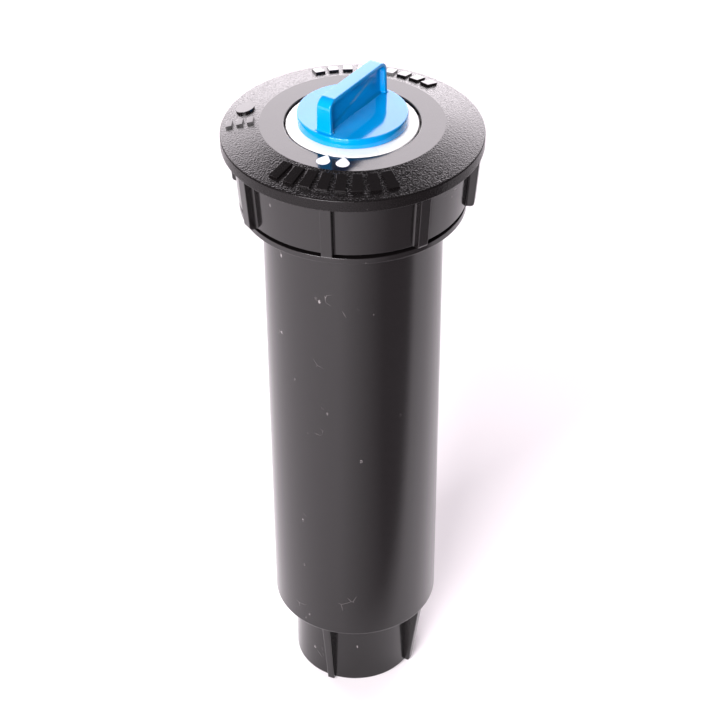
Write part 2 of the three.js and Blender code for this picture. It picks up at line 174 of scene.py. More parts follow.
PLUG_RADIUS = radius_of("flush_plug")
PLUG_BOTTOM = bottom_of("flush_plug")
PLUG_SHANK = 7.1
PLUG_HOLLOW = 5.4
PLUG_DOME = 0.4  # how far the hollow's roof rises
PLUG_THREAD = {"height": 0.6, "turns": 2.2, "start": 147.9, "base": 1.0, "crest": 0.5}
DISC_BOTTOM = 155.6
DISC_TOP = 158.05
HANDLE_TOP = top_of("flush_plug")
HANDLE_FOOT = DISC_TOP - 0.3  # inside the disc
HANDLE_ANGLE = 56
HANDLE_LENGTH = 21.7
HANDLE_CORNER = 2.1
HANDLE_STEPS = 8  # facets round one of its corners
HANDLE_HALF_WIDTH = 1.83  # at its foot
HANDLE_DRAFT = 0.2  # how much narrower each side is at the top
HANDLE_FRAME = 0.9
HANDLE_BLEND = 0.4
HANDLE_EDGE = 0.22
HANDLE_CRISP = math.radians(40)  # its edges sharper than this are softened
POCKET_CORNER = 1.3
POCKET_DEPTH = 1.2
POCKET_DRAFT = 0.15

SPRING_RADIUS = 13.0
SPRING_WIRE = 0.55  # the wire's radius
SPRING_COILS = 11
SPRING_STEPS = 40  # facets along a coil
WIRE_STEPS = 12  # and round the wire
SPRING_END_PITCH = 1.15


# ---- Mesh tools ----


def rounded(profile):
    """Replaces each (radius, height, fillet) corner of a closed profile by an arc."""
    points = []
    count = len(profile)
    for i, (r, z, fillet) in enumerate(profile):
        here = Vector((r, z))
        if fillet <= 0:
            points.append(here)
            continue
        to_last = Vector(profile[i - 1][:2]) - here
        to_next = Vector(profile[(i + 1) % count][:2]) - here
        half = to_last.angle(to_next) / 2
        room = 0.49 * min(to_last.length, to_next.length)
        reach = min(fillet / math.tan(half), room)
        size = reach * math.tan(half)
        middle = (to_last.normalized() + to_next.normalized()).normalized()
        centre = here + middle * size / math.sin(half)
        start = here + to_last.normalized() * reach - centre
        turn = start.angle_signed(here + to_next.normalized() * reach - centre)
        for k in range(ARC_STEPS + 1):
            angle = -turn * k / ARC_STEPS
            points.append(centre + Matrix.Rotation(angle, 2) @ start)
    return points


def add_turned(mesh, profile, steps=ROUND_STEPS):
    """A closed profile turned about Z, added to mesh. Points on the axis become one."""
    points = rounded(profile)
    rings = []
    for i in range(steps):
        c = math.cos(TAU * i / steps)
        s = math.sin(TAU * i / steps)
        rings.append([mesh.verts.new((p.x * c, p.x * s, p.y)) for p in points])
    made = [v for ring in rings for v in ring]
    for i in range(steps):
        here = rings[i]
        after = rings[(i + 1) % steps]
        for k in range(len(points)):
            n = (k + 1) % len(points)
            if points[k].x < 1e-6 and points[n].x < 1e-6:
                continue
            mesh.faces.new((here[k], after[k], after[n], here[n]))
    bmesh.ops.remove_doubles(mesh, verts=made, dist=1e-5)


def add_helix(mesh, section, radius_at, height_at, turns, steps_per_turn=64):
    """A section of (along Z, outwards) points swept round a helix, with closed ends."""
    steps = round(turns * steps_per_turn)
    rings = []
    for i in range(steps + 1):
        t = i / steps
        c = math.cos(TAU * turns * t)
        s = math.sin(TAU * turns * t)
        ring = []
        for along, out in section:
            r = radius_at(t) + out
            ring.append(mesh.verts.new((r * c, r * s, height_at(t) + along)))
        rings.append(ring)
    count = len(section)
    for i in range(steps):
        for k in range(count):
            n = (k + 1) % count
            mesh.faces.new((rings[i][k], rings[i + 1][k], rings[i + 1][n], rings[i][n]))
    mesh.faces.new(rings[0][::-1])
    mesh.faces.new(rings[-1])


def add_thread(mesh, wall, pitch, height, turns, start, base, crest, taper=0.0):
    """A thread ridge that sinks into its wall at both ends. height is negative in a bore."""
    root = -math.copysign(THREAD_ROOT, height)
    shoulder = (1 - CREST_ROUND) * height
    section = [
        (-base / 2, root),
        (base / 2, root),
        (crest / 2 + 0.1, shoulder),
        (crest / 2 - 0.05, height),
        (-crest / 2 + 0.05, height),
        (-crest / 2 - 0.1, shoulder),
    ]
    run_out = THREAD_RUN_OUT / turns

    def height_at(t):
        return start + pitch * turns * t

    def radius_at(t):
        sunk = max(0, 1 - t / run_out, 1 - (1 - t) / run_out) * height
        return wall - taper * (height_at(t) - start) - sunk

    add_helix(mesh, section, radius_at, height_at, turns)


def rotate(part, angle, axis):
    """Turns a part about an axis through the origin."""
    matrix = Matrix.Rotation(angle, 3, axis)
    bmesh.ops.rotate(part, verts=part.verts, cent=(0, 0, 0), matrix=matrix)


def absorb(mesh, part, degrees):
    """Moves a finished part into mesh, turned about Z."""
    bmesh.ops.recalc_face_normals(part, faces=part.faces)
    rotate(part, math.radians(degrees), "Z")
    data = bpy.data.meshes.new("part")
    part.to_mesh(data)
    part.free()
    mesh.from_mesh(data)
    bpy.data.meshes.remove(data)


def tapered_block(low, high):
    """A block between two rectangles, each (x0, x1, width, z)."""
    part = bmesh.new()
    rings = []
    for x0, x1, width, z in (low, high):
        w = width / 2
        corners = ((x0, -w, z), (x1, -w, z), (x1, w, z), (x0, w, z))
        rings.append([part.verts.new(corner) for corner in corners])
    part.faces.new(rings[0][::-1])
    part.faces.new(rings[1])
    for k in range(4):
        n = (k + 1) % 4
        part.faces.new((rings[0][k], rings[0][n], rings[1][n], rings[1][k]))
    return part


def soften(part, size, steps, chosen):
    """Rounds the edges of part for which chosen(edge) is true."""
    bmesh.ops.bevel(
        part,
        geom=[edge for edge in part.edges if chosen(edge)],
        offset=size,
        segments=steps,
        profile=0.5,
        affect="EDGES",
    )


def outer_edge(limit):
    """A test for edges that lie wholly outside a radius along X."""
    return lambda edge: all(v.co.x > limit for v in edge.verts)


def make_piece(name, mesh, materials, body, replaces, choose=None):
    """Makes a mesh in mm into a piece of the scene.

    choose(centre, normal) picks a face's material, by its index in materials.
    """
    bmesh.ops.recalc_face_normals(mesh, faces=mesh.faces)
    data = bpy.data.meshes.new(name)
    mesh.to_mesh(data)
    mesh.free()
    if choose:
        for polygon in data.polygons:
            polygon.material_index = choose(polygon.center, polygon.normal)
    data.transform(Matrix.Scale(MM, 4))
    for material in materials:
        data.materials.append(material)
    data.shade_smooth()
    data.set_sharp_from_angle(angle=SMOOTH_ANGLE)
    piece = bpy.data.objects.new(name, data)
    bpy.context.scene.collection.objects.link(piece)
    flat = piece.modifiers.new("flat_faces", "WEIGHTED_NORMAL")
    flat.keep_sharp = True
    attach(piece, body)
    if replaces:
        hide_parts(replaces)
    return piece


# ---- Materials ----


def new_material(name, color, roughness):
    """A Principled material, with its node tree, shader and object coordinates."""
    material = bpy.data.materials.new(name)
    material.use_nodes = True
    tree = material.node_tree
    shader = tree.nodes["Principled BSDF"]
    shader.inputs["Base Color"].default_value = (*color, 1)
    shader.inputs["Roughness"].default_value = roughness
    coords = tree.nodes.new("ShaderNodeTexCoord").outputs["Object"]
    return material, tree, shader, coords


def noise(tree, coords, scale, detail=3.0):
    """Cloudy noise from 0 to 1. Its scale is features to the metre."""
    node = tree.nodes.new("ShaderNodeTexNoise")
    node.inputs["Scale"].default_value = scale
    node.inputs["Detail"].default_value = detail
    tree.links.new(coords, node.inputs["Vector"])
    return node.outputs["Fac"]


def spread(tree, value, low, high, to_low, to_high):
    """Maps value from low..high to to_low..to_high, clamped."""
    node = tree.nodes.new("ShaderNodeMapRange")
    node.inputs["From Min"].default_value = low
    node.inputs["From Max"].default_value = high
    node.inputs["To Min"].default_value = to_low
    node.inputs["To Max"].default_value = to_high
    tree.links.new(value, node.inputs["Value"])
    return node.outputs["Result"]


def mixed(tree, factor, first, second):
    """A colour between two others."""
    node = tree.nodes.new("ShaderNodeMix")
    node.data_type = "RGBA"
    tree.links.new(factor, node.inputs[0])
    for socket, value in ((node.inputs[6], first), (node.inputs[7], second)):
        if isinstance(value, tuple):
            socket.default_value = (*value, 1)
        else:
            tree.links.new(value, socket)
    return node.outputs[2]


def bump(tree, shader, height, depth_mm):
    """Adds a bump of a real depth to the shader's normal."""
    node = tree.nodes.new("ShaderNodeBump")
    node.inputs["Distance"].default_value = depth_mm * MM
    node.inputs["Strength"].default_value = 1
    tree.links.new(height, node.inputs["Height"])
    tree.links.new(node.outputs["Normal"], shader.inputs["Normal"])


def stretched(tree, coords, factors):
    """Object coordinates scaled by a factor along each axis."""
    node = tree.nodes.new("ShaderNodeMapping")
    node.inputs["Scale"].default_value = factors
    tree.links.new(coords, node.inputs["Vector"])
    return node.outputs["Vector"]


def product(tree, first, second):
    """Two values multiplied."""
    node = tree.nodes.new("ShaderNodeMath")
    node.operation = "MULTIPLY"
    tree.links.new(first, node.inputs[0])
    tree.links.new(second, node.inputs[1])
    return node.outputs[0]


def specks(tree, coords, per_metre, size):
    """Sparse pale flecks of uneven shape, 1 on a fleck and 0 elsewhere: dust and small nicks."""
    node = tree.nodes.new("ShaderNodeTexVoronoi")
    node.inputs["Scale"].default_value = per_metre
    tree.links.new(stretched(tree, coords, (1, 1, 0.6)), node.inputs["Vector"])
    dots = spread(tree, node.outputs["Distance"], size, size * 0.4, 0, 0.8)
    rare = spread(tree, noise(tree, coords, per_metre * 0.3, 1), 0.64, 0.68, 0, 1)
    torn = spread(tree, noise(tree, coords, per_metre * 7, 1), 0.42, 0.52, 0, 1)
    return product(tree, product(tree, dots, rare), torn)


def fibres(tree, coords, per_metre):
    """Rare thin curved lines, 1 on a line and 0 elsewhere: dust fibres and hairline scratches."""
    node = tree.nodes.new("ShaderNodeTexVoronoi")
    node.feature = "DISTANCE_TO_EDGE"
    node.inputs["Scale"].default_value = per_metre
    tree.links.new(coords, node.inputs["Vector"])
    lines = spread(tree, node.outputs["Distance"], 0.02, 0.008, 0, 0.3)
    rare = spread(tree, noise(tree, coords, per_metre * 0.4, 2), 0.68, 0.72, 0, 1)
    return product(tree, lines, rare)


BLACK = (0.0052, 0.0044, 0.0046)
DUST = (0.30, 0.28, 0.28)


def black_plastic():
    """Polished moulded black plastic: faint flow marks along the axis, dust and nicks."""
    material, tree, shader, coords = new_material("black_plastic", BLACK, 0.17)
    flow = noise(tree, stretched(tree, coords, (60, 60, 9)), 1.0, 4)
    tree.links.new(spread(tree, flow, 0.35, 0.65, 0.14, 0.21), shader.inputs["Roughness"])
    shader.inputs["Specular IOR Level"].default_value = 0.46
    spotted = mixed(tree, specks(tree, coords, 430, 0.16), BLACK, DUST)
    dusty = mixed(tree, fibres(tree, coords, 320), spotted, DUST)
    tree.links.new(dusty, shader.inputs["Base Color"])
    bump(tree, shader, noise(tree, coords, 500, 2), 0.006)
    return material


def grained_plastic(name, sheen, depth_mm):
    """Spark-eroded grain about 0.35 mm across, of a depth in mm, with its hollows rougher."""
    material, tree, shader, coords = new_material(name, BLACK, 0.2)
    shader.inputs["Specular IOR Level"].default_value = sheen
    dusty = mixed(tree, specks(tree, coords, 700, 0.12), BLACK, DUST)
    tree.links.new(dusty, shader.inputs["Base Color"])
    grain = noise(tree, coords, 2600, 1.5)
    tree.links.new(spread(tree, grain, 0.35, 0.6, 0.32, 0.14), shader.inputs["Roughness"])
    bump(tree, shader, grain, depth_mm)
    return material


def ring_plastic():
    """The polished ring round the riser, with faint ripples."""
    material, tree, shader, coords = new_material("ring_plastic", BLACK, 0.1)
    flow = noise(tree, coords, 260, 4)
    tree.links.new(spread(tree, flow, 0.35, 0.65, 0.08, 0.15), shader.inputs["Roughness"])
    dusty = mixed(tree, specks(tree, coords, 800, 0.1), BLACK, DUST)
    tree.links.new(dusty, shader.inputs["Base Color"])
    ripples = noise(tree, stretched(tree, coords, (400, 900, 400)), 1.0, 2)
    bump(tree, shader, ripples, 0.004)
    return material


def mark_plastic():
    """The polished tops and sides of the raised marks."""
    material, tree, shader, coords = new_material("mark_plastic", BLACK, 0.12)
    bump(tree, shader, noise(tree, coords, 900, 2), 0.008)
    return material


def white_plastic():
    """The riser's white plastic, faintly clouded."""
    material, tree, shader, coords = new_material("white_plastic", (0.97, 0.97, 0.96), 0.25)
    cloud = noise(tree, coords, 120, 3)
    tint = mixed(tree, cloud, (0.95, 0.95, 0.94), (0.98, 0.98, 0.97))
    tree.links.new(tint, shader.inputs["Base Color"])
    tree.links.new(spread(tree, cloud, 0.3, 0.7, 0.2, 0.3), shader.inputs["Roughness"])
    bump(tree, shader, noise(tree, coords, 700, 2), 0.006)
    return material


def blue_plastic():
    """Glossy blue plastic with faint clouding and a few dark specks."""
    blue = (0.0, 0.27, 0.64)
    deep = (0.0, 0.24, 0.58)
    material, tree, shader, coords = new_material("blue_plastic", blue, 0.1)
    shader.inputs["Specular Tint"].default_value = (0.85, 0.9, 1, 1)
    cloud = noise(tree, coords, 150, 3)
    tint = mixed(tree, spread(tree, cloud, 0.35, 0.7, 0, 1), blue, deep)
    dirt = specks(tree, coords, 620, 0.1)
    tree.links.new(mixed(tree, dirt, tint, (0.02, 0.1, 0.3)), shader.inputs["Base Color"])
    tree.links.new(spread(tree, cloud, 0.3, 0.7, 0.07, 0.12), shader.inputs["Roughness"])
    bump(tree, shader, noise(tree, coords, 300, 2), 0.005)
    return material


def print_ink():
    """White printing ink on the ring."""
    material, tree, shader, coords = new_material("print_ink", (0.9, 0.9, 0.9), 0.45)
    bump(tree, shader, noise(tree, coords, 1500, 2), 0.01)
    return material


def inner_plastic(name, color, roughness):
    """Plain moulded plastic of a piece inside the case."""
    material, tree, shader, coords = new_material(name, color, roughness)
    cloud = noise(tree, coords, 140, 3)
    darker = tuple(0.85 * c for c in color)
    tree.links.new(mixed(tree, cloud, darker, color), shader.inputs["Base Color"])
    bump(tree, shader, noise(tree, coords, 800, 2), 0.01)
    return material


def seal_rubber():
    """Soft black rubber with a faint bloom."""
    material, tree, shader, coords = new_material("seal_rubber", (0.018, 0.018, 0.018), 0.7)
    bloom = noise(tree, coords, 220, 4)
    tint = mixed(tree, bloom, (0.014, 0.014, 0.014), (0.03, 0.03, 0.03))
    tree.links.new(tint, shader.inputs["Base Color"])
    bump(tree, shader, noise(tree, coords, 1600, 2), 0.015)
    return material


def spring_steel():
    """Drawn stainless wire."""
    material, tree, shader, coords = new_material("spring_steel", (0.56, 0.56, 0.55), 0.28)
    shader.inputs["Metallic"].default_value = 1.0
    streaks = noise(tree, coords, 600, 2)
    tree.links.new(spread(tree, streaks, 0.3, 0.7, 0.22, 0.36), shader.inputs["Roughness"])
    return material


LOOK = {
    "black": black_plastic(),
    "grain": grained_plastic("grained_plastic", 0.42, 0.1),
    "edge": grained_plastic("edge_plastic", 0.16, 0.04),
    "ring": ring_plastic(),
    "mark": mark_plastic(),
    "white": white_plastic(),
    "blue": blue_plastic(),
    "ink": print_ink(),
    "grey": inner_plastic("grey_plastic", (0.22, 0.23, 0.24), 0.45),
    "natural": inner_plastic("natural_plastic", (0.7, 0.67, 0.58), 0.4),
    "rubber": seal_rubber(),
    "steel": spring_steel(),
}


# ---- Case ----


def make_case():
    """The case: boss with pipe thread and fins, keyed tube, collar and threaded neck."""
    mesh = bmesh.new()
    add_turned(mesh, [
        (PIPE_MOUTH + PIPE_CHAMFER, 0, 0.1),
        (INLET_RADIUS, 0, 0.6),
        (INLET_RADIUS, INLET_HEIGHT, 0.5),
        (TUBE_RADIUS, INLET_HEIGHT, 0.8),
        (TUBE_RADIUS, COLLAR_BOTTOM, 0.35),
        (COLLAR_RADIUS, COLLAR_BOTTOM, 0.25),
        (COLLAR_RADIUS, COLLAR_TOP, 0.15),
        (NECK_RADIUS, COLLAR_TOP, 0.2),
        (NECK_RADIUS, NECK_TOP, 0.3),
        (TUBE_BORE, NECK_TOP, 0.4),
        (TUBE_BORE, TUBE_FLOOR, 0.6),
        (SEAT_OUTER, TUBE_FLOOR, 0.2),
        (SEAT_OUTER, SEAT_TOP, 0.2),
        (SEAT_INNER, SEAT_TOP, 0.2),
        (INLET_HOLE, TUBE_FLOOR, 0.1),
        (INLET_HOLE, INLET_DEPTH, 0.2),
        (PIPE_MOUTH - PIPE_TAPER * INLET_DEPTH, INLET_DEPTH, 0.3),
        (PIPE_MOUTH, PIPE_CHAMFER, 0),
    ])
    for angle in FIN_ANGLES:
        absorb(mesh, inlet_fin(), angle)
    for angle in KEY_ANGLES:
        absorb(mesh, guide_key(), angle)
    wall = PIPE_MOUTH - PIPE_THREAD["start"] * PIPE_TAPER
    add_thread(mesh, wall, PIPE_PITCH, **PIPE_THREAD, taper=PIPE_TAPER)
    add_thread(mesh, NECK_RADIUS, CAP_PITCH, **NECK_THREAD)
    make_piece("case_fine", mesh, [LOOK["black"]], "case", "case_body")


def inlet_fin():
    """A gusset between the inlet boss and the shoulder, with soft edges."""
    part = tapered_block(FIN_FOOT, FIN_HEAD)
    soften(part, FIN_ROUND, 3, outer_edge(INLET_RADIUS))
    return part


def guide_key():
    """An upright rib inside the tube."""
    foot = (KEY_INNER, KEY_OUTER, KEY_WIDTH, KEY_BOTTOM)
    head = (KEY_INNER, KEY_OUTER, KEY_WIDTH, KEY_TOP)
    return tapered_block(foot, head)


# ---- Cap ----


CONE_RUN = FLANGE_RADIUS - CONE_EDGE - RING_RADIUS
CONE_SLOPE = math.atan2(ROOF_TOP - FLANGE_TOP, CONE_RUN)
CAP_LOOKS = ["black", "grain", "ring", "edge"]


def cone_height(radius):
    """The height of the cap's cone at a radius."""
    share = (radius - RING_RADIUS) / CONE_RUN
    return ROOF_TOP + share * (FLANGE_TOP - ROOF_TOP)


def on_cone(part, radius):
    """Lays a part, modelled about the origin, on the cone at a radius along X."""
    rotate(part, CONE_SLOPE, "Y")
    bmesh.ops.translate(part, verts=part.verts, vec=(radius, 0, cone_height(radius)))
    return part


def make_cap():
    """The screw cap, without its raised and printed marks."""
    chamfer_width, chamfer_height = SKIRT_CHAMFER
    mesh = bmesh.new()
    add_turned(mesh, [
        (SKIRT_BORE + chamfer_width, SKIRT_BOTTOM, 0.1),
        (SKIRT_LOW, SKIRT_BOTTOM, 0.25),
        (SKIRT_HIGH, FLANGE_BOTTOM, 0.3),
        (FLANGE_RADIUS, FLANGE_BOTTOM, 0.3),
        (FLANGE_RADIUS, cone_height(FLANGE_RADIUS), 0.42),
        (RING_RADIUS, ROOF_TOP, 0.25),
        (RECESS_RADIUS, ROOF_TOP, 0.25),
        (RECESS_RADIUS, RECESS_FLOOR, 0.2),
        (ROOF_HOLE, RECESS_FLOOR, 0.3),
        (ROOF_HOLE, ROOF_UNDERSIDE, 0.2),
        (SKIRT_BORE, ROOF_UNDERSIDE, 0.4),
        (SKIRT_BORE, SKIRT_BOTTOM + chamfer_height, 0),
    ])
    for angle in RIB_ANGLES:
        absorb(mesh, cap_rib(), angle)
    add_thread(mesh, SKIRT_BORE, CAP_PITCH, **CAP_THREAD)
    looks = [LOOK[name] for name in CAP_LOOKS]
    make_piece("cap_fine", mesh, looks, "cap", "cap_shell", cap_look)


def cap_look(centre, normal):
    """Which of the cap's looks a face has: its side, cone and ring differ from the rest."""
    radius = math.hypot(centre.x, centre.y)
    faces_up = normal.z > 0.5
    name = "black"
    if radius > FLANGE_RADIUS - 0.1 and centre.z > FLANGE_BOTTOM:
        name = "edge"
    elif radius > GRAIN_RADIUS and faces_up and centre.z > FLANGE_BOTTOM:
        name = "grain"
    elif radius > RECESS_RADIUS and faces_up and centre.z > ROOF_TOP - 0.1:
        name = "ring"
    return CAP_LOOKS.index(name)


def cap_rib():
    """An upright grip rib: draft to the flange, a round lower corner, a blend into the skirt."""
    levels = []
    for k in range(ARC_STEPS + 1):
        angle = math.pi / 2 * k / ARC_STEPS
        outer = RIB_LOW - RIB_ROUND * (1 - math.sin(angle))
        levels.append((outer, RIB_BOTTOM + RIB_ROUND * (1 - math.cos(angle))))
    levels.append((RIB_HIGH, RIB_TOP))
    part = bmesh.new()
    rings = []
    for outer, z in levels:
        share = (z - SKIRT_BOTTOM) / (FLANGE_BOTTOM - SKIRT_BOTTOM)
        root = SKIRT_LOW + share * (SKIRT_HIGH - SKIRT_LOW) - RIB_SINK
        rings.append([part.verts.new((x, y, z)) for x, y in rib_section(root, outer)])
    count = len(rings[0])
    for lower, upper in zip(rings, rings[1:]):
        for k in range(count):
            n = (k + 1) % count
            part.faces.new((lower[k], lower[n], upper[n], upper[k]))
    part.faces.new(rings[0][::-1])
    part.faces.new(rings[-1])
    return part


def rib_section(root, outer):
    """A rib's outline seen from above, with blends at the skirt and small outer rounds."""
    half = RIB_WIDTH / 2
    side = [(root - 0.5, half + RIB_BLEND)]
    for k in range(ARC_STEPS + 1):
        angle = math.pi / 2 * k / ARC_STEPS
        x = root + RIB_BLEND * (1 - math.cos(angle))
        side.append((x, half + RIB_BLEND * (1 - math.sin(angle))))
    for k in range(ARC_STEPS + 1):
        angle = math.pi / 2 * (1 - k / ARC_STEPS)
        x = outer - RIB_EDGE * (1 - math.cos(angle))
        side.append((x, half - RIB_EDGE * (1 - math.sin(angle))))
    return side + [(x, -y) for x, y in reversed(side)]


def raised_plate(outline, radius):
    """A plate on the cone with soft upper edges. Its outline is about the origin, X outwards."""
    part = bmesh.new()
    floor = [part.verts.new((x, y, -PAD_DEPTH)) for x, y in outline]
    roof = [part.verts.new((x, y, PAD_HEIGHT)) for x, y in outline]
    part.faces.new(floor[::-1])
    part.faces.new(roof)
    for k in range(len(outline)):
        n = (k + 1) % len(outline)
        part.faces.new((floor[k], floor[n], roof[n], roof[k]))
    soften(part, PAD_EDGE, 2, lambda edge: all(v.co.z > PAD_HEIGHT - 0.01 for v in edge.verts))
    return on_cone(part, radius)


def rectangle(length, width):
    """A rectangle's corners about the origin, length along X."""
    return [(x * length / 2, y * width / 2) for x, y in ((-1, -1), (1, -1), (1, 1), (-1, 1))]


def drop_outline(size, tip, tip_angle):
    """A water drop about the origin, with its tip at an angle."""
    half = math.acos(size / tip)
    outline = [(tip * math.cos(tip_angle), tip * math.sin(tip_angle))]
    for k in range(25):
        angle = tip_angle + half + (TAU - 2 * half) * k / 24
        outline.append((size * math.cos(angle), size * math.sin(angle)))
    return outline


def make_marks():
    """Plain raised pads in two arcs, and a water drop over three short bars."""
    mesh = bmesh.new()
    for group in (FRONT_PADS, BACK_PADS):
        outline = rectangle(group["outer"] - group["inner"], group["width"])
        radius = (group["inner"] + group["outer"]) / 2
        for i in range(group["count"]):
            angle = group["angle"] + group["span"] * (i / (group["count"] - 1) - 0.5)
            absorb(mesh, raised_plate(outline, radius), angle)
    drop = drop_outline(DROP["round"], DROP["tip"], -math.pi / 2)
    absorb(mesh, raised_plate(drop, DROP["radius"]), DROP["angle"])
    bar = rectangle(DROP_BAR["length"], DROP_BAR["width"])
    for step in (-1, 0, 1):
        radius = DROP["radius"] + step * DROP_BAR["pitch"]
        absorb(mesh, raised_plate(bar, radius), DROP_BAR["angle"])
    make_piece("cap_marks", mesh, [LOOK["mark"]], "cap", None)


def make_print():
    """Two printed water drops on the smooth ring."""
    mesh = bmesh.new()
    height = ROOF_TOP + PRINT["lift"]
    outline = drop_outline(PRINT["round"], PRINT["tip"], math.pi)
    for angle in PRINT["angles"]:
        part = bmesh.new()
        part.faces.new([part.verts.new((x + PRINT["radius"], y, height)) for x, y in outline])
        absorb(mesh, part, angle)
    make_piece("cap_print", mesh, [LOOK["ink"]], "cap", None)


# ---- Riser ----


def make_stem():
    """The riser's tube, with the plug's socket in its top."""
    mesh = bmesh.new()
    add_turned(mesh, [
        (STEM_BORE, STEM_BOTTOM, 0.2),
        (STEM_RADIUS, STEM_BOTTOM, 0.3),
        (STEM_RADIUS, STEM_FLANGE_BOTTOM, 0.3),
        (STEM_FLANGE, STEM_FLANGE_BOTTOM, 0.25),
        (STEM_FLANGE, STEM_TOP, 0.35),
        (SOCKET_RADIUS, STEM_TOP, 0.3),
        (SOCKET_RADIUS, SOCKET_BOTTOM, 0.1),
        (STEM_BORE, SOCKET_BOTTOM - (SOCKET_RADIUS - STEM_BORE), 0.1),
    ], SMALL_STEPS)
    add_thread(mesh, SOCKET_RADIUS, PLUG_PITCH, **STEM_THREAD)
    make_piece("stem_fine", mesh, [LOOK["white"]], "riser", "riser_stem")


# ---- Flush plug ----


def make_plug():
    """The blue flush plug: a hollow threaded shank, a disc and a bar handle."""
    mesh = bmesh.new()
    add_turned(mesh, [
        (0, DISC_BOTTOM + PLUG_DOME, 0),
        (PLUG_HOLLOW, DISC_BOTTOM, 0.3),
        (PLUG_HOLLOW, PLUG_BOTTOM, 0.2),
        (PLUG_SHANK, PLUG_BOTTOM, 0.3),
        (PLUG_SHANK, DISC_BOTTOM, 0.2),
        (PLUG_RADIUS, DISC_BOTTOM, 0.3),
        (PLUG_RADIUS, DISC_TOP, 0.28),
        (0, DISC_TOP, 0),
    ], SMALL_STEPS)
    add_thread(mesh, PLUG_SHANK, PLUG_PITCH, **PLUG_THREAD)
    absorb(mesh, plug_handle(), HANDLE_ANGLE)
    make_piece("plug_fine", mesh, [LOOK["blue"]], "plug", "flush_plug")


def foot_flare(z):
    """How far the handle's faces have spread at a height, in the blend at its foot."""
    down = min(max(1 - (z - DISC_TOP) / HANDLE_BLEND, 0), 1)
    return HANDLE_BLEND * (1 - math.sqrt(1 - down * down))


def arch(half, high, corner, flare=1):
    """An upright outline in X and Z with two round top corners, from the lower right round.

    Its foot spreads outwards, or inwards where flare is -1.
    """
    feet = [DISC_TOP + HANDLE_BLEND * k / ARC_STEPS for k in range(ARC_STEPS + 1)]
    right = [(half + flare * foot_flare(z), z) for z in [HANDLE_FOOT] + feet]
    points = list(right)
    for side in (1, -1):
        for k in range(HANDLE_STEPS + 1):
            share = k / HANDLE_STEPS
            angle = math.pi / 2 * (share if side > 0 else 1 + share)
            x = side * (half - corner) + corner * math.cos(angle)
            points.append((x, high - corner + corner * math.sin(angle)))
    return points + [(-x, z) for x, z in reversed(right)]


def plug_handle():
    """The bar handle: a rounded frame, open at its foot, round a thin web."""
    half = HANDLE_LENGTH / 2
    web = HANDLE_FRAME + POCKET_DRAFT
    outer = arch(half, HANDLE_TOP, HANDLE_CORNER)
    rim = arch(half - HANDLE_FRAME, HANDLE_TOP - HANDLE_FRAME, POCKET_CORNER, -1)
    floor = arch(half - web, HANDLE_TOP - web, POCKET_CORNER - POCKET_DRAFT, -1)

    def half_width(z):
        share = (z - DISC_TOP) / (HANDLE_TOP - DISC_TOP)
        return HANDLE_HALF_WIDTH - HANDLE_DRAFT * share + foot_flare(z)

    part = bmesh.new()
    sides = []
    for side in (-1, 1):
        loops = []
        for outline, inset in ((outer, 0.0), (rim, 0.0), (floor, POCKET_DEPTH)):
            points = [(x, side * (half_width(z) - inset), z) for x, z in outline]
            loops.append([part.verts.new(point) for point in points])
        for first, second in zip(loops, loops[1:]):
            for k in range(len(first) - 1):
                part.faces.new((first[k], first[k + 1], second[k + 1], second[k]))
        part.faces.new(loops[-1])
        sides.append(loops[0])
    for k in range(len(outer) - 1):
        part.faces.new((sides[0][k], sides[0][k + 1], sides[1][k + 1], sides[1][k]))
    bmesh.ops.recalc_face_normals(part, faces=part.faces)
    soften(part, HANDLE_EDGE, 3, is_handle_rim)
    return part


def is_handle_rim(edge):
    """Whether an edge of the handle is crisp, with a face on each side."""
    return len(edge.link_faces) == 2 and edge.calc_face_angle() > HANDLE_CRISP


# ---- Spring and inner pieces ----


def make_spring():
    """The same closed-end spring as the CAD's, with round wire."""
    low = bottom_of("retract_spring") + SPRING_WIRE
    high = top_of("retract_spring") - SPRING_WIRE
    open_count = SPRING_COILS - 2
    open_pitch = (high - low - 2 * SPRING_END_PITCH) / open_count

    def height_at(t):
        coil = SPRING_COILS * t
        open_coils = min(max(coil - 1, 0), open_count)
        return low + open_pitch * open_coils + SPRING_END_PITCH * (coil - open_coils)

    angles = [TAU * k / WIRE_STEPS for k in range(WIRE_STEPS)]
    section = [(SPRING_WIRE * math.cos(a), SPRING_WIRE * math.sin(a)) for a in angles]
    mesh = bmesh.new()
    add_helix(mesh, section, lambda t: SPRING_RADIUS, height_at, SPRING_COILS, SPRING_STEPS)
    steel = [LOOK["steel"]]
    piece = make_piece("spring_fine", mesh, steel, "cap_carrier", "retract_spring")
    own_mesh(piece)


def dress_inner_nodes():
    """Gives the CAD nodes inside the case their materials."""
    looks = {
        "wiper_seal": "rubber",
        "seal_support_ring": "natural",
        "spring_seat": "natural",
        "riser_guide": "grey",
        "ratchet_ring": "grey",
        "check_valve_retainer": "grey",
        "check_valve_seal": "rubber",
        "filter_screen": "grey",
    }
    for node, look in looks.items():
        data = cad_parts[node].data
        data.materials.clear()
        data.materials.append(LOOK[look])


# ---- Studio ----

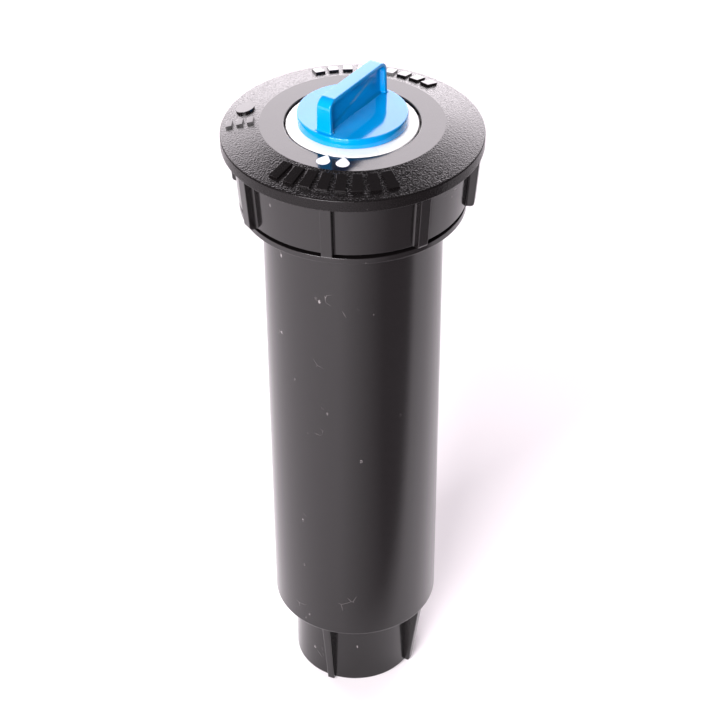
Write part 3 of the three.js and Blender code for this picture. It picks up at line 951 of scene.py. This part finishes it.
FLOOR_SIDE = 12.0  # metres
PAPER = (0.92, 0.9, 0.915)
# The colour of the painted shade on the floor in front, to the right.
PAINTED_FLOOR_SHADE = (0.2, 0.187, 0.196)
PAINTED_SHADE_Y = (-0.03, -0.05)  # Y over which the painted floor shade fades in, in front
PAINTED_SHADE_TURN = (0.2, 0.35)  # shares of a turn, from -X, over which the painted shade fades in towards the right
WALL_Y = (0.1, 0.4)  # directions over which the wall behind fades in
WALL_Z = (0.675, 0.605)
WALL_X = (0.85, 0.5)
WALL_STRENGTH = 6.2
DIM_STRENGTH = 0.13  # of the studio round the wall
WORLD_TINT = (1, 0.93, 0.98)
KEY_LIGHT = {
    "location": (-0.46, -0.89, 0.57),
    "target": (0, 0, 0.1),
    "size": (0.7, 0.35),
    "power": 27,
    "tint": (1, 0.95, 0.98),
}
CAMERA_LOCATION = (0, -0.37045, 0.37477)
CAMERA_PITCH = math.radians(37.443)  # downwards
CAMERA_YAW = math.radians(0.219)
CAMERA_ROLL = math.radians(-0.198)


def make_floor():
    """A white sweep. In front, to the right, painted shade makes the floor darker."""
    mesh = bmesh.new()
    corners = rectangle(FLOOR_SIDE, FLOOR_SIDE)
    mesh.faces.new([mesh.verts.new((x, y, 0)) for x, y in corners])
    data = bpy.data.meshes.new("floor")
    mesh.to_mesh(data)
    mesh.free()
    floor = bpy.data.objects.new("floor", data)
    bpy.context.scene.collection.objects.link(floor)
    material, tree, shader, coords = new_material("floor_white", PAPER, 0.8)
    shader.inputs["Specular IOR Level"].default_value = 0.1
    split = tree.nodes.new("ShaderNodeSeparateXYZ")
    tree.links.new(coords, split.inputs[0])
    # Painted shade: the floor's colour darkens in front, towards the right.
    front = spread(tree, split.outputs["Y"], *PAINTED_SHADE_Y, 0, 1)
    sweep = tree.nodes.new("ShaderNodeTexGradient")
    sweep.gradient_type = "RADIAL"
    tree.links.new(coords, sweep.inputs["Vector"])
    right = spread(tree, sweep.outputs["Fac"], *PAINTED_SHADE_TURN, 0, 1)
    # dark is the mask of the painted floor shade.
    dark = product(tree, right, front)
    tree.links.new(mixed(tree, dark, PAPER, PAINTED_FLOOR_SHADE), shader.inputs["Base Color"])
    data.materials.append(material)


def make_world():
    """A dim studio with a bright wall behind the sprinkler."""
    world = bpy.data.worlds.new("studio")
    world.use_nodes = True
    tree = world.node_tree
    tree.nodes.clear()
    coords = tree.nodes.new("ShaderNodeTexCoord").outputs["Generated"]
    split = tree.nodes.new("ShaderNodeSeparateXYZ")
    tree.links.new(coords, split.inputs[0])
    behind = spread(tree, split.outputs["Y"], *WALL_Y, 0, 1)
    below = spread(tree, split.outputs["Z"], *WALL_Z, 0, 1)
    dark, bright = WALL_X
    left = spread(tree, split.outputs["X"], -dark, -bright, 0, 1)
    right = spread(tree, split.outputs["X"], dark, bright, 0, 1)
    wall = product(tree, product(tree, behind, below), product(tree, left, right))
    strength = spread(tree, wall, 0, 1, DIM_STRENGTH, WALL_STRENGTH)
    background = tree.nodes.new("ShaderNodeBackground")
    background.inputs["Color"].default_value = (*WORLD_TINT, 1)
    tree.links.new(strength, background.inputs["Strength"])
    output = tree.nodes.new("ShaderNodeOutputWorld")
    tree.links.new(background.outputs[0], output.inputs["Surface"])
    bpy.context.scene.world = world


def make_key_light():
    """A softbox low at the front left."""
    light = bpy.data.lights.new("key", "AREA")
    light.shape = "RECTANGLE"
    light.size, light.size_y = KEY_LIGHT["size"]
    light.energy = KEY_LIGHT["power"]
    light.color = KEY_LIGHT["tint"]
    lamp = bpy.data.objects.new("key", light)
    lamp.location = KEY_LIGHT["location"]
    lamp.rotation_mode = "QUATERNION"
    aim = Vector(KEY_LIGHT["target"]) - Vector(KEY_LIGHT["location"])
    lamp.rotation_quaternion = aim.to_track_quat("-Z", "Y")
    bpy.context.scene.collection.objects.link(lamp)


def make_camera():
    """A view down at the front of the sprinkler."""
    ahead = Vector((math.sin(CAMERA_YAW), math.cos(CAMERA_YAW), 0))
    forward = ahead * math.cos(CAMERA_PITCH) - Vector((0, 0, math.sin(CAMERA_PITCH)))
    flat_right = Vector((math.cos(CAMERA_YAW), -math.sin(CAMERA_YAW), 0))
    flat_up = flat_right.cross(forward)
    right = flat_right * math.cos(CAMERA_ROLL) + flat_up * math.sin(CAMERA_ROLL)
    up = flat_up * math.cos(CAMERA_ROLL) - flat_right * math.sin(CAMERA_ROLL)
    axes = Matrix((right, up, -forward)).transposed()
    data = bpy.data.cameras.new("camera")
    data.lens = 100
    data.sensor_width = 36
    data.clip_start = 0.01
    camera = bpy.data.objects.new("camera", data)
    camera.matrix_world = Matrix.Translation(CAMERA_LOCATION) @ axes.to_4x4()
    bpy.context.scene.collection.objects.link(camera)
    bpy.context.scene.camera = camera


def set_picture():
    """Plain colours, without a film look."""
    scene = bpy.context.scene
    scene.view_settings.view_transform = "Standard"
    scene.cycles.use_denoising = True


make_camera()
make_case()
make_cap()
make_marks()
make_print()
make_stem()
make_plug()
make_spring()
dress_inner_nodes()
make_floor()
make_world()
make_key_light()
set_picture()
